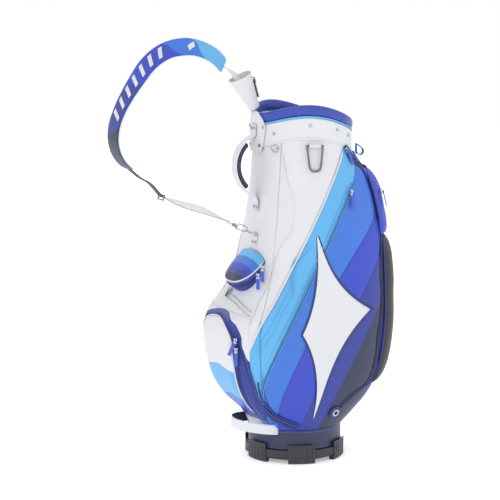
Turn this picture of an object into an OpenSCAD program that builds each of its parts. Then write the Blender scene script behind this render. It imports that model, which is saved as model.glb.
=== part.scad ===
// Tour staff golf bag: a leaning club tube on a moulded base, wrapped in sewn
// pockets, with a padded collar, a carry handle and a shoulder strap.
// Millimetres, +Z up. The origin is on the floor under the centre of the base.
// -X is the front (handle, strap, ball pocket), +X the rear, -Y the near side.

/* [Tube and base] */
// Outer diameter of the collar
collar_d = 262; // [250:1:270]
// Outer diameter of the club tube
tube_d = 234; // [230:1:235]
// Wall of the club tube
tube_wall = 3; // [2:0.5:4]
// Height of the club tube's top edge
tube_top = 842; // [820:1:846]
// Lean of the bag towards its rear
lean_deg = 1.2; // [0:0.1:2]
// Height of the leather band's top edge
band_top = 88; // [80:1:88]
// Height of the feet
foot_h = 50; // [40:1:55]

/* [Collar] */
// Mean height of the rim's top edge
rim_h = 911; // [905:1:920]
// Depth of the padded rim
pad_h = 31; // [25:1:35]
// Depth of the collar from the rim's top to its lower seam
collar_h = 88; // [80:1:92]

/* [Pockets] */
// Thickness of the black lower rear pocket
rear_lower_t = 23; // [15:1:30]
// Thickness of the upper rear pocket
rear_upper_t = 16; // [10:1:20]
// Half width of the ball pocket
ball_half_w = 104; // [96:1:108]
// Half width of the valuables pouch
pouch_half_w = 78; // [70:1:84]

/* [Handle] */
// Outer radius of the carry handle's arc
handle_r = 86; // [80:1:90]
// Width of the carry handle
handle_w = 30; // [26:1:34]

/* [Shoulder strap] */
// Width of the shoulder pad
pad_w = 60; // [50:1:66]
// Thickness of the shoulder pad
pad_t = 9; // [6:1:10]
// Width of the webbing
web_w = 30; // [25:1:34]

/* [Metalware] */
// Wire radius of the towel ring
towel_r = 2.5; // [2:0.1:2.8]
// Wire radius of the strap ring
ring_r = 1.5; // [1.5:0.1:1.8]
// Bore radius of the umbrella eyelet
eyelet_r = 5.5; // [4:0.5:6]
// Radius of a rivet's head
rivet_r = 4.5; // [4:0.5:5]
// Length of a zip pull
pull_len = 40; // [30:1:42]

/* [Hidden] */
$fn = 64;
gap = 0.4;
rows = [89, 130, 170, 220, 280, 350, 390, 431, 470, 520, 560, 580, 600, 640, 680, 710, 740, 770];
lean = tan(lean_deg);
tube_r = tube_d / 2;
collar_r = collar_d / 2;
skin_r = tube_r + 0.5;
floor_z = 18;
band_in = tube_r + 2.3;
seat = 1.8;
well_x = 38;
sheet_t = 1.6;

// ---- Outline of the bag: half axes and squareness of its level sections ----
function front_a(z) = lookup(z, [[89, 124], [130, 140], [170, 166], [220, 192], [280, 211],
  [350, 220], [390, 217], [431, 181], [470, 160], [520, 140], [560, 130], [580, 126],
  [600, 124], [728, 124], [806, 126], [850, 127]]);
function side_b(z) = lookup(z, [[89, 124], [130, 139], [170, 151], [220, 160], [280, 165],
  [350, 167], [430, 167], [520, 165], [600, 160], [640, 156], [680, 151], [710, 147],
  [740, 142], [770, 137], [800, 133], [830, 129], [850, 128]]);
function rear_a(z) = lookup(z, [[89, 124], [130, 156], [170, 182], [220, 203], [280, 212],
  [350, 215], [430, 214], [520, 211], [600, 204], [640, 198], [680, 191], [710, 187],
  [740, 177], [770, 157], [800, 137], [830, 128], [850, 128]]);
function front_n(z) = lookup(z, [[89, 2], [130, 2.6], [170, 3.2], [220, 3.8], [280, 4],
  [390, 4], [431, 3.5], [580, 3.5], [600, 3.2], [640, 2.8], [680, 2.5], [728, 2.3], [806, 2]]);
function rear_n(z) = lookup(z, [[89, 2], [130, 2.4], [170, 2.9], [220, 3.4], [280, 3.8],
  [350, 4], [430, 4], [520, 3.9], [600, 3.6], [680, 3.1], [740, 2.6], [800, 2.2], [850, 2]]);
// Radius of an oval at angle t, from its half axes and its squareness
function oval(t, a, b, n) = pow(pow(abs(cos(t)) / a, n) + pow(abs(sin(t)) / b, n), -1 / n);
// Radius of the bag's skin at height z and angle t: 0 is the front, 90 the near side
function skin(t, z) = cos(t) > 0
  ? oval(t, front_a(z), side_b(z), front_n(z))
  : oval(t, rear_a(z), side_b(z), rear_n(z));
// Height of the rim's top edge and of the collar's lower seam at angle t
function rim_top(t) = rim_h + 16 * cos(t) - 16 * cos(2 * t) - 3 * cos(3 * t);
function seam(t) = rim_top(t) - collar_h;
function polar(r, t, z) = [lean * z - r * cos(t), -r * sin(t), z];
function unit(v) = v / norm(v);
function bump(u) = sqrt(max(0, 1 - pow(abs(u), 4)));
// Height of each row of a sewn panel, from the base band to the collar's seam
function skin_z(v, t) = let (k = round(v * 19)) k < 18 ? rows[k]
  : 770 + (seam(t) - gap - 770) * (k - 17) / 2;

// ---- Shapes that many pieces share ----
// A closed solid between an inner and an outer surface. ft(u, v) gives the angle and
// fz(v, t) the height of a point; inner(t, z) and outer(t, z) give the radii.
module slab(nt, nz, ft, fz, inner, outer) {
  m = nt + 1;
  n = m * (nz + 1);
  function o(i, j) = j * m + i;
  function q(i, j) = n + j * m + i;
  function grid(fr) = [for (j = [0:nz], i = [0:nt])
    let (t = ft(i / nt, j / nz), z = fz(j / nz, t)) polar(fr(t, z), t, z)];
  polyhedron(
    concat(grid(outer), grid(inner)),
    concat(
      [for (j = [0:nz - 1], i = [0:nt - 1]) each [
        [o(i, j), o(i + 1, j + 1), o(i + 1, j)],
        [o(i, j), o(i, j + 1), o(i + 1, j + 1)],
        [q(i, j), q(i + 1, j), q(i + 1, j + 1)],
        [q(i, j), q(i + 1, j + 1), q(i, j + 1)]]],
      [for (i = [0:nt - 1]) each [
        [o(i, 0), o(i + 1, 0), q(i + 1, 0)],
        [o(i, 0), q(i + 1, 0), q(i, 0)],
        [o(i, nz), q(i + 1, nz), o(i + 1, nz)],
        [o(i, nz), q(i, nz), q(i + 1, nz)]]],
      [for (j = [0:nz - 1]) each [
        [o(0, j), q(0, j), q(0, j + 1)],
        [o(0, j), q(0, j + 1), o(0, j + 1)],
        [o(nt, j), q(nt, j + 1), q(nt, j)],
        [o(nt, j), o(nt, j + 1), q(nt, j + 1)]]]));
}
// A wedge of the bag between two angles, from the club tube out to the skin
module skin_wedge(t0, t1, nt) {
  slab(nt, 19,
    function(u, v) t0 + (t1 - t0) * u,
    function(v, t) skin_z(v, t),
    function(t, z) skin_r,
    function(t, z) max(skin(t, z), skin_r + 2));
}
// A closed ring swept round the collar. The profile holds [radius, drop below the rim].
module wave_ring(profile, steps = 72) {
  m = len(profile);
  polyhedron(
    [for (i = [0:steps - 1]) let (t = i * 360 / steps) for (p = profile)
      polar(p[0], t, rim_top(t) - p[1])],
    [for (i = [0:steps - 1], k = [0:m - 1])
      let (a = i * m + k, b = i * m + (k + 1) % m, c = ((i + 1) % steps) * m)
      each [[a, c + (k + 1) % m, b], [a, c + k, c + (k + 1) % m]]]);
}
// A pocket that stands proud of the skin between two angles and two heights
module proud_pocket(t0, t1, z0, z1, proud, nt = 14, nz = 12) {
  slab(nt, nz,
    function(u, v) t0 + (t1 - t0) * u,
    function(v, t) z0 + (z1 - z0) * v,
    function(t, z) skin(t, z) + seat,
    function(t, z) skin(t, z) + seat + 1.6 + proud
      * bump((2 * t - t0 - t1) / (t1 - t0)) * bump((2 * z - z0 - z1) / (z1 - z0)));
}
// A strap swept along a route of [x, z, twist] points, twist turning its face to -Y
module strap_sweep(route, w, t) {
  last = len(route) - 1;
  function at(i) = [route[i].x, 0, route[i].y];
  function dir(i) = unit(at(min(i + 1, last)) - at(max(i - 1, 0)));
  function out(i) = [dir(i).z, 0, -dir(i).x];
  function wide(i) = cos(route[i].z) * [0, -1, 0] - sin(route[i].z) * out(i);
  function face(i) = cos(route[i].z) * out(i) + sin(route[i].z) * [0, -1, 0];
  polyhedron(
    [for (i = [0:last]) for (c = [[-1, -1], [1, -1], [1, 1], [-1, 1]])
      at(i) + wide(i) * c.x * w / 2 + face(i) * c.y * t / 2],
    concat(
      [[0, 1, 2, 3], [for (k = [3:-1:0]) 4 * last + k]],
      [for (i = [0:last - 1], k = [0:3])
        let (a = 4 * i + k, b = 4 * i + (k + 1) % 4)
        each [[a, b + 4, b], [a, a + 4, b + 4]]]));
}
// A flat band of even thickness along [x, z] points, as wide as w across the bag
module band(points, t, w) {
  last = len(points) - 1;
  dirs = [for (i = [0:last]) unit(points[min(i + 1, last)] - points[max(i - 1, 0)])];
  side = [for (i = [0:last]) points[i] + t / 2 * [-dirs[i].y, dirs[i].x]];
  back = [for (i = [last:-1:0]) points[i] - t / 2 * [-dirs[i].y, dirs[i].x]];
  rotate([90, 0, 0]) linear_extrude(w, center = true) polygon(concat(side, back));
}
module on_frame(p, right, up, out) {
  multmatrix([[right.x, up.x, out.x, p.x], [right.y, up.y, out.y, p.y],
    [right.z, up.z, out.z, p.z], [0, 0, 0, 1]]) children();
}
// Places children on the skin: +Z points out of the bag and +Y up along it
module on_skin(t, z, lift = 0, turn = 0) {
  p = polar(skin(t, z), t, z);
  right = unit(polar(skin(t + 1, z), t + 1, z) - polar(skin(t - 1, z), t - 1, z));
  climb = unit(polar(skin(t, z + 6), t, z + 6) - polar(skin(t, z - 6), t, z - 6));
  out = unit(cross(right, climb));
  on_frame(p + out * lift, right, cross(out, right), out) rotate([0, 0, turn]) children();
}
// Places children upright at a point, with +Z pointing out at angle t round the bag
module facing(p, t) {
  right = [sin(t), -cos(t), 0];
  on_frame(p, right, [0, 0, 1], cross(right, [0, 0, 1])) children();
}
module on_collar(t, z, r) {
  facing(polar(r, t, z), t) children();
}
module lean_over() {
  rotate([0, lean_deg, 0]) children();
}
module rod(p, q, r) {
  d = q - p;
  translate(p) rotate([0, acos(d.z / norm(d)), atan2(d.y, d.x)]) cylinder(h = norm(d), r = r);
}
// A bent wire through points that lie in one plane, mitred at its corners. A wire
// whose last point is its first one closes into a loop.
module wire(points, r, normal = [0, 0, 1], sides = 10) {
  closed = points[0] == points[len(points) - 1];
  m = closed ? len(points) - 1 : len(points);
  last = closed ? m - 1 : m - 2;
  function ahead(i) = closed ? unit(points[(i + 1) % m] - points[i])
    : unit(points[min(i + 1, m - 1)] - points[min(i, m - 2)]);
  function before(i) = closed ? unit(points[i] - points[(i + m - 1) % m])
    : unit(points[max(i, 1)] - points[max(i - 1, 0)]);
  function across(i) = let (d = unit(ahead(i) + before(i)))
    cross(normal, d) / (d * ahead(i));
  polyhedron(
    [for (i = [0:m - 1], k = [0:sides - 1]) points[i]
      + r * (cos(360 * k / sides) * across(i) + sin(360 * k / sides) * normal)],
    concat(
      closed ? [] : [[for (k = [0:sides - 1]) k], [for (k = [sides - 1:-1:0]) (m - 1) * sides + k]],
      [for (i = [0:last], k = [0:sides - 1])
        let (a = i * sides + k, b = i * sides + (k + 1) % sides,
          c = ((i + 1) % m) * sides + k, d = ((i + 1) % m) * sides + (k + 1) % sides)
        each [[a, d, b], [a, c, d]]]));
}
module rivet() {
  cylinder(h = 1.2, r = rivet_r);
  cylinder(h = 2.2, r = rivet_r - 1.2);
}

// ---- Base ----
module base_tub() {
  color("black") rotate_extrude() polygon([[0, 8], [70, 8], [70, 0], [78, 0], [78, 8],
    [114, 8], [114, 15], [129, 15], [129, 35.5], [band_in, 35.5],
    [band_in, floor_z], [0, floor_z]]);
}
module base_feet() {
  color("dimgray") for (a = [13:60:313]) rotate([0, 0, a - 16]) difference() {
    rotate_extrude(angle = 32) polygon([[114.5, 0], [127, 0], [131, 4], [131, foot_h],
      [129.3, foot_h], [129.3, 14.7], [114.5, 14.7]]);
    for (k = [4:6:28]) rotate([0, 0, k]) translate([130.3, -1, 10]) cube([3, 2, foot_h - 16]);
  }
}
module base_band() {
  color("midnightblue") rotate_extrude() polygon([[band_in, 36], [121.4, 36], [122, 38],
    [122, 84], [122.8, 85], [122.8, 87.6], [122, band_top], [band_in, band_top]]);
}

// ---- Tube and dividers ----
module inner_tube() {
  color("darkslategray") lean_over() translate([0, 0, floor_z + 3]) difference() {
    cylinder(h = tube_top - floor_z - 3, r = tube_r);
    translate([0, 0, -1]) cylinder(h = tube_top, r = tube_r - tube_wall);
  }
}
module divider_top() {
  inner = tube_r - tube_wall - 0.3;
  color("midnightblue") lean_over() translate([0, 0, tube_top - 16]) {
    difference() {
      cylinder(h = 18, r = inner);
      translate([0, 0, -1]) cylinder(h = 20, r = inner - 5);
    }
    intersection() {
      cylinder(h = 18, r = inner - 2);
      union() {
        translate([-inner, -4, 0]) cube([2 * inner, 8, 18]);
        for (s = [-1, 1]) translate([s * well_x - 4, -inner, 0]) cube([8, 2 * inner, 18]);
      }
    }
  }
}
// Full length sheets that keep the clubs in six wells, one separate piece per wall
module divider_sheets() {
  h = tube_top - 17 - floor_z - 5;
  reach = tube_r - tube_wall - 1;
  side = sqrt(pow(reach, 2) - pow(well_x + 1, 2)) - 1;
  color("slategray") lean_over() translate([0, 0, floor_z + 5]) {
    translate([-reach, -sheet_t / 2, 0]) cube([2 * reach, sheet_t, h]);
    for (sx = [-1, 1], half = [0, 180]) rotate([0, 0, half])
      translate([sx * well_x - sheet_t / 2, sheet_t, 0]) cube([sheet_t, side - sheet_t, h]);
  }
}

// ---- Collar ----
module collar() {
  color("whitesmoke") wave_ring([[skin_r, pad_h + 1.5], [collar_r - 1, pad_h + 1.5],
    [collar_r, pad_h + 4], [collar_r, collar_h - 2], [collar_r - 0.8, collar_h],
    [skin_r, collar_h]]);
}
module rim_pad() {
  color("mediumblue") wave_ring([[collar_r - 14, 6], [collar_r - 11, 1], [collar_r - 7, 0],
    [collar_r - 3, 1.5], [collar_r, 7], [collar_r + 0.5, 18], [collar_r - 1, pad_h - 4.3],
    [collar_r - 11, pad_h - 4.3], [collar_r - 14, pad_h - 7]]);
}
module rim_piping() {
  color("skyblue") wave_ring([[skin_r, pad_h - 3.6], [collar_r - 1, pad_h - 3.6],
    [collar_r + 1.5, pad_h - 1.6], [collar_r + 1, pad_h + 0.8], [skin_r, pad_h + 1]]);
}
module collar_rivets() {
  color("silver") for (p = [[31.3, 858], [73.6, 880], [108.1, 867], [130.2, 849]], s = [-1, 1])
    on_collar(s * p[0], p[1], collar_r + 0.4) rivet();
}
// Leather tab that ties the strap's sleeve to the front of the collar
function tab_half(z) = lookup(z, [[808, 13], [826, 17], [872, 21], [892, 16], [911, 6]]);
tab_r = collar_r + 2.2;
module strap_tab() {
  color("white") slab(10, 12,
    function(u, v) (2 * u - 1) * tab_half(808 + 103 * v),
    function(v, t) 808 + 103 * v,
    function(t, z) tab_r,
    function(t, z) tab_r + 2.5);
}
module tab_rivets() {
  color("silver") for (p = [[17, 872], [12.2, 825]], s = [-1, 1])
    on_collar(s * p[0], p[1], tab_r + 2.8) rivet();
}

// ---- Sewn panels and pockets ----
module front_panel() {
  color("white") skin_wedge(-40, 40, 16);
}
module garment_pocket_near() {
  color("dodgerblue") skin_wedge(40.2, 139.7, 20);
}
module garment_pocket_far() {
  color("dodgerblue") skin_wedge(-139.7, -40.2, 20);
}
module rear_panel() {
  color("royalblue") skin_wedge(139.9, 220.1, 16);
}
module rear_upper_pocket() {
  color("mediumblue") proud_pocket(141, 219, 592, 762, rear_upper_t);
}
module rear_lower_pocket() {
  color("black") proud_pocket(142, 218, 200, 584, rear_lower_t, 14, 16);
}
// Ball pocket: a deep box over the lower front, and its door panel
function ball_a(z) = lookup(z, [[112, 128], [127, 136], [162, 172], [206, 203], [262, 223],
  [316, 234], [356, 236], [385, 230], [402, 212]]);
function ball_b(z) = lookup(z, [[112, 80], [162, 94], [206, 100], [262, ball_half_w - 1],
  [316, ball_half_w], [356, ball_half_w - 1], [385, 98], [402, 88]]);
ball_rows = [112, 127, 145, 162, 184, 206, 234, 262, 289, 316, 336, 356, 375, 390, 402];
module ball_pocket() {
  color("mediumblue") slab(24, 14,
    function(u, v) (2 * u - 1) * 33,
    function(v, t) ball_rows[round(v * 14)],
    function(t, z) skin(t, z) + seat,
    function(t, z) max(skin(t, z) + seat + 2, oval(t, ball_a(z), ball_b(z), 8)));
}
module ball_door() {
  color("white") slab(16, 12,
    function(u, v) (2 * u - 1) * 21,
    function(v, t) 140 + 245 * v,
    function(t, z) max(skin(t, z) + seat + 4, oval(t, ball_a(z), ball_b(z), 8) + 1.9),
    function(t, z) max(skin(t, z) + seat + 5.6, oval(t, ball_a(z), ball_b(z), 8) + 3.4));
}
// Valuables pouch: a domed wedge that stands out towards its round lower tip
pouch_z0 = 446;
pouch_z1 = 552;
function pouch_v(z) = (z - pouch_z0) / (pouch_z1 - pouch_z0);
function pouch_half(z) = asin(pouch_half_w / 152) * sqrt(max(0.05, 1 - pow(1 - pouch_v(z), 2.2)));
function pouch_out(z) = z < 472 ? 8 + 26 * (z - pouch_z0) / 26 : 4 + 30 * (pouch_z1 - z) / 80;
module valuables_pouch() {
  color("royalblue") slab(16, 12,
    function(u, v) (2 * u - 1) * pouch_half(pouch_z0 + (pouch_z1 - pouch_z0) * v),
    function(v, t) pouch_z0 + (pouch_z1 - pouch_z0) * v,
    function(t, z) skin(t, z) + seat,
    function(t, z) skin(t, z) + seat + pouch_out(z));
}
module pouch_lid() {
  color("deepskyblue") slab(14, 8,
    function(u, v) (2 * u - 1) * 0.9 * pouch_half(474 + 74 * v),
    function(v, t) 474 + 74 * v,
    function(t, z) skin(t, z) + seat + pouch_out(z) + 1.2,
    function(t, z) skin(t, z) + seat + pouch_out(z) + 5);
}

// ---- Carry handle ----
handle_c = [-90, 772];
module handle_arc(r_in, r_out, half, w) {
  translate([handle_c.x, 0, handle_c.y]) rotate([90, 0, 0]) rotate([0, 0, 180 - half])
    translate([0, 0, -w / 2]) linear_extrude(w)
      intersection() {
        difference() {
          circle(r = r_out, $fn = 96);
          circle(r = r_in, $fn = 96);
        }
        polygon([[0, 0], 2 * r_out * [1, 0], 2 * r_out * [cos(half), sin(half)],
          2 * r_out * [cos(2 * half), sin(2 * half)]]);
      }
}
module handle_strap() {
  color("white") band(concat([[-120.1, 877], [-120.3, 860]],
    [for (a = [112:6.8:248]) handle_c + (handle_r - 2) * [cos(a), sin(a)]],
    [[-117.6, 686], [-113.6, 680], [-112.9, 673], [-112.8, 657]]), 4, handle_w);
}
module handle_pad() {
  color("midnightblue") handle_arc(handle_r - 18, handle_r - 4.3, 50, handle_w - 4);
}
module handle_rivets() {
  color("silver") for (y = [-8, 8]) {
    facing([-122.5, y, 868], 0) rivet();
    facing([-115.2, y, 664], 0) rivet();
  }
}

// ---- Webbing loops ----
module base_loop() {
  color("whitesmoke") difference() {
    translate([-92, 0, 76]) rotate([0, 6, 0]) difference() {
      cylinder(h = 26, r = 86);
      translate([0, 0, -1]) cylinder(h = 28, r = 83.4);
      translate([22, -100, -1]) cube(200);
    }
    translate([0, 0, 60]) cylinder(h = 29, r = 123.4);
    translate([0, 0, 88]) cylinder(h = 22, r1 = 124.6, r2 = 139);
  }
}
module rear_loop() {
  color("skyblue") on_collar(165, 806, 131.5) rotate([0, 90, 0]) linear_extrude(22, center = true)
    difference() {
      hull() {
        translate([-16, 2]) square([3, 14]);
        translate([-24, -6]) circle(r = 11);
      }
      hull() {
        translate([-14, 4]) square([2, 9]);
        translate([-24, -6]) circle(r = 8.6);
      }
    }
}

// ---- Rings on the upper skin ----
towel_t = 78.6;
towel_z = 828;
ring_lift = 6.4;
module towel_tab() {
  color("white") on_skin(towel_t, towel_z) {
    translate([-15, -9, 1.7]) cube([30, 19, 1.6]);
    difference() {
      translate([-15, 0, ring_lift]) rotate([0, 90, 0]) cylinder(h = 30, r = towel_r + 2.2);
      translate([-16, 0, ring_lift]) rotate([0, 90, 0]) cylinder(h = 32, r = towel_r + 0.3);
    }
  }
}
module towel_ring() {
  color("dimgray") on_skin(towel_t, towel_z, ring_lift) wire([[-21, 0, 0], [21, 0, 0],
    [15, -52, 0], [12, -60, 0], [7, -64, 0], [-7, -64, 0], [-12, -60, 0], [-15, -52, 0],
    [-21, 0, 0]], towel_r);
}
module small_ring_tab() {
  color("white") on_skin(33, 822) {
    translate([-9, -8, 0.9]) cube([18, 12, 1.2]);
    difference() {
      translate([-7, 0, 4]) rotate([0, 90, 0]) cylinder(h = 14, r = 3.1);
      translate([-8, 0, 4]) rotate([0, 90, 0]) cylinder(h = 16, r = 1.8);
    }
  }
}
module small_ring() {
  color("silver") on_skin(33, 822, 4)
    wire(concat([for (a = [0:-20:-180]) 11 * [cos(a), sin(a), 0]], [[11, 0, 0]]), 1.4);
}
module umbrella_tab() {
  color("midnightblue") on_skin(109, 134) difference() {
    translate([0, 0, 1]) cylinder(h = 3, r = 18);
    cylinder(h = 8, r = eyelet_r + 3.3);
  }
}
module umbrella_eyelet() {
  color("silver") on_skin(109, 134, 0.8) difference() {
    union() {
      cylinder(h = 4, r = eyelet_r + 3);
      translate([0, 0, 3.4]) cylinder(h = 1.4, r = eyelet_r + 4.5);
    }
    translate([0, 0, -1]) cylinder(h = 8, r = eyelet_r);
  }
}

// ---- Strap ring and snap hook ----
// The hook's crook goes round the ring's bow at this point
clip = [-142, 0, 607];
ring_bar = [-119, 0, 592];
hook_tilt = 22;
ring_dir = atan2(clip.z - ring_bar.z, ring_bar.x - clip.x);
ring_len = norm(clip - ring_bar);
module on_hook() {
  translate(clip) rotate([0, hook_tilt, 0]) children();
}
module ring_tab() {
  color("white") {
    on_skin(0, 577, 0.8) {
      translate([-14, -12, 0]) cube([28, 25, 2]);
      translate([-9.5, 9, 1]) cube([19, 6, 2.8]);
    }
    difference() {
      translate([ring_bar.x, 11, ring_bar.z]) rotate([90, 0, 0]) cylinder(h = 22, r = ring_r + 2);
      translate([ring_bar.x, 12, ring_bar.z]) rotate([90, 0, 0]) cylinder(h = 24, r = ring_r + 0.3);
    }
  }
}
module ring_tab_rivets() {
  color("silver") for (x = [-8, 8]) on_skin(0, 577, 3.1) translate([x, -5, 0]) rivet();
}
module strap_ring() {
  color("silver") translate(ring_bar) rotate([0, 180 + ring_dir, 0]) wire([[0, -15, 0],
    [0, 15, 0], [ring_len - 8, 12, 0], [ring_len, 6, 0], [ring_len, -6, 0],
    [ring_len - 8, -12, 0], [0, -15, 0]], ring_r);
}
hook_r = 1.6;
gate_x = -24;
gate_z = -7;
module snap_hook() {
  color("silver") on_hook() {
    rod([-38, 0, 0], [-26, 0, 0], 2.3);
    rod([-41, 0, 0], [-37.6, 0, 0], 4);
    wire(concat([[-27, 0, 0], [-23, 0, 7]], [for (a = [90:-22.5:-90])
      [-2 + 7 * cos(a), 0, 7 * sin(a)]], [[-8, 0, -7]]), hook_r, [0, 1, 0]);
    for (s = [-1, 1]) {
      translate([gate_x, s * 3.4 + 0.6, gate_z]) rotate([90, 0, 0]) cylinder(h = 1.2, r = 2.8);
      translate([gate_x - 3.5, s * 3.4 - 0.6, gate_z]) cube([3.5, 1.2, 8.4]);
    }
    translate([-28, -4, -0.6]) cube([3.5, 8, 2]);
    rod([gate_x, -4, gate_z], [gate_x, 4, gate_z], 1);
  }
}
module hook_gate() {
  color("silver") on_hook() {
    difference() {
      union() {
        translate([gate_x, 2.5, gate_z]) rotate([90, 0, 0]) cylinder(h = 5, r = 2.6);
        rod([gate_x + 2, 0, gate_z], [-10.6, 0, gate_z], 1.6);
      }
      translate([gate_x, 5, gate_z]) rotate([90, 0, 0]) cylinder(h = 10, r = 1.35);
    }
  }
}
module hook_eye() {
  color("silver") on_hook() {
    difference() {
      rod([-36.8, 0, 0], [-30, 0, 0], 5);
      rod([-40, 0, 0], [-28, 0, 0], 2.6);
    }
    wire([[-33, 4.4, 0], [-36, 8, 0], [-49, 17, 0], [-49, -17, 0], [-36, -8, 0],
      [-33, -4.4, 0]], 1.9);
  }
}

// ---- Shoulder strap ----
strap_route = [[-203, 1028, 50], [-226, 1051, 50], [-254, 1067, 48], [-284, 1076, 46],
  [-313, 1078, 44], [-350, 1072, 38], [-382, 1057, 32], [-411, 1033, 27], [-436, 1001, 22],
  [-460, 966, 16], [-483, 926, 11], [-498, 888, 8], [-502, 852, 6], [-496, 822, 5],
  [-482, 797, 4], [-462, 778, 3]];
module shoulder_pad() {
  color("cornflowerblue") strap_sweep(strap_route, pad_w, pad_t);
}
module lower_webbing() {
  color("white") {
    band([[-460, 774], [-436, 756], [-409, 740], [-388, 718], [-376, 703]], 2.6, web_w);
    band([[-375, 703], [-330, 684], [-260, 661], [-192, 631]], 5, web_w);
  }
}
module strap_adjuster() {
  half = web_w / 2 + 3;
  color("silver") translate([-376, 0, 702]) rotate([0, 22, 0]) wire([[0, -half, -6],
    [0, half, -6], [0, half, 6], [0, -half, 6], [0, -half, -6]], 1.8, [1, 0, 0]);
}
sleeve_foot = [-117, 0, 919];
sleeve_tilt = -26.3;
module on_sleeve() {
  translate(sleeve_foot) rotate([0, sleeve_tilt, 0]) children();
}
module strap_sleeve() {
  color("white") on_sleeve() difference() {
    cylinder(h = 92, r1 = 14, r2 = 31);
    translate([0, 0, 4]) cylinder(h = 92, r1 = 12.3, r2 = 29.7);
  }
}
module sleeve_buckle() {
  color("dimgray") on_sleeve() {
    translate([19.2, -9, 22]) rotate([0, 10.5, 0]) cube([2.4, 18, 48]);
    translate([24, 0, 62]) rotate([0, 10.5, 0]) wire([[4, -12, 0], [4, 12, 0],
      [4, 12, 12], [4, -12, 12], [4, -12, 0]], 1.5, [1, 0, 0]);
  }
}
module upper_webbing() {
  color("white") band([[-130, 944], [-146, 972], [-166, 998], [-200, 1025]], 3, web_w);
}

// ---- Zips: a slider on the tape and a pull that hangs from its bridge ----
bail_z = 5.6;
module slider_body() {
  translate([-4.5, -7, 0.8]) cube([9, 14, 3]);
  for (s = [-1, 1]) translate([-0.6, s * 4.9 - 0.6, 3.4]) cube([1.2, 1.2, 5]);
  translate([-1, -5.5, 7.4]) cube([2, 11, 1.4]);
}
module pull_tag(reach = pull_len) {
  wire([[-4.8, -8, bail_z], [-4.8, 0, bail_z], [4.8, 0, bail_z], [4.8, -8, bail_z]], 0.9);
  translate([-4.5, -reach, bail_z - 1]) cube([9, reach - 7.5, 2]);
}
module at_panel(s, turn) {
  on_skin(s * 116.4, 706, 2, s * turn) children();
}
module at_garment(s) {
  on_skin(s * 121.5, 812, 1, s * 20) children();
}
module at_rear(s) {
  on_skin(s * 150, 697, 16.5) children();
}
module at_ball(t, z) {
  facing(polar(oval(t, ball_a(z), ball_b(z), 8) + 3.4, t, z), 60) children();
}
module at_pouch(t, z) {
  facing(polar(skin(t, z) + 21, t, z), 72) children();
}
module at_slit() {
  on_skin(-12, 442, 2.4) children();
}
module fixed_sliders() {
  color("silver") {
    for (s = [-1, 1]) {
      at_garment(s) slider_body();
      at_rear(s) slider_body();
    }
    at_ball(23.3, 336) slider_body();
    at_ball(23.6, 311) slider_body();
    at_pouch(33.5, 519) slider_body();
    at_pouch(30.5, 499) slider_body();
    at_slit() slider_body();
  }
}
module slider_panel_near() {
  color("silver") at_panel(1, -29.5) slider_body();
}
module slider_panel_far() {
  color("silver") at_panel(-1, -29.5) slider_body();
}
module pull_panel_near() {
  color("royalblue") at_panel(1, 0) pull_tag();
}
module pull_panel_far() {
  color("royalblue") at_panel(-1, 0) pull_tag();
}
module pull_garment_near() {
  color("royalblue") at_garment(1) pull_tag();
}
module pull_garment_far() {
  color("royalblue") at_garment(-1) pull_tag();
}
module pull_rear_near() {
  color("royalblue") at_rear(1) pull_tag();
}
module pull_rear_far() {
  color("royalblue") at_rear(-1) pull_tag();
}
module pull_ball_upper() {
  color("royalblue") at_ball(23.3, 336) rotate([0, 0, -24]) pull_tag();
}
module pull_ball_lower() {
  color("royalblue") at_ball(23.6, 311) pull_tag();
}
module pull_pouch_upper() {
  color("royalblue") at_pouch(33.5, 519) pull_tag(34);
}
module pull_pouch_lower() {
  color("royalblue") at_pouch(30.5, 499) pull_tag(34);
}
module pull_slit() {
  color("dimgray") at_slit() pull_tag(20);
}

base_tub();
base_feet();
base_band();
inner_tube();
divider_top();
divider_sheets();
collar();
rim_pad();
rim_piping();
collar_rivets();
strap_tab();
tab_rivets();
front_panel();
garment_pocket_near();
garment_pocket_far();
rear_panel();
rear_upper_pocket();
rear_lower_pocket();
ball_pocket();
ball_door();
valuables_pouch();
pouch_lid();
handle_strap();
handle_pad();
handle_rivets();
base_loop();
rear_loop();
towel_tab();
towel_ring();
small_ring_tab();
small_ring();
umbrella_tab();
umbrella_eyelet();
ring_tab();
ring_tab_rivets();
strap_ring();
snap_hook();
hook_gate();
hook_eye();
lower_webbing();
strap_adjuster();
shoulder_pad();
upper_webbing();
strap_sleeve();
sleeve_buckle();
fixed_sliders();
slider_panel_near();
slider_panel_far();
pull_panel_near();
pull_panel_far();
pull_garment_near();
pull_garment_far();
pull_rear_near();
pull_rear_far();
pull_ball_upper();
pull_ball_lower();
pull_pouch_upper();
pull_pouch_lower();
pull_slit();
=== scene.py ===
# %% [markdown]
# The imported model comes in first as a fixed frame. Its nodes and bodies give every place
# and size, so each soft piece is made around the solid that it stands for.

# %% Load the frame
from math import atan2, cos, degrees, pi, radians, sin, sqrt, tan

import bmesh
import bpy
import numpy as np
from mathutils import Matrix, Vector, noise


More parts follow.
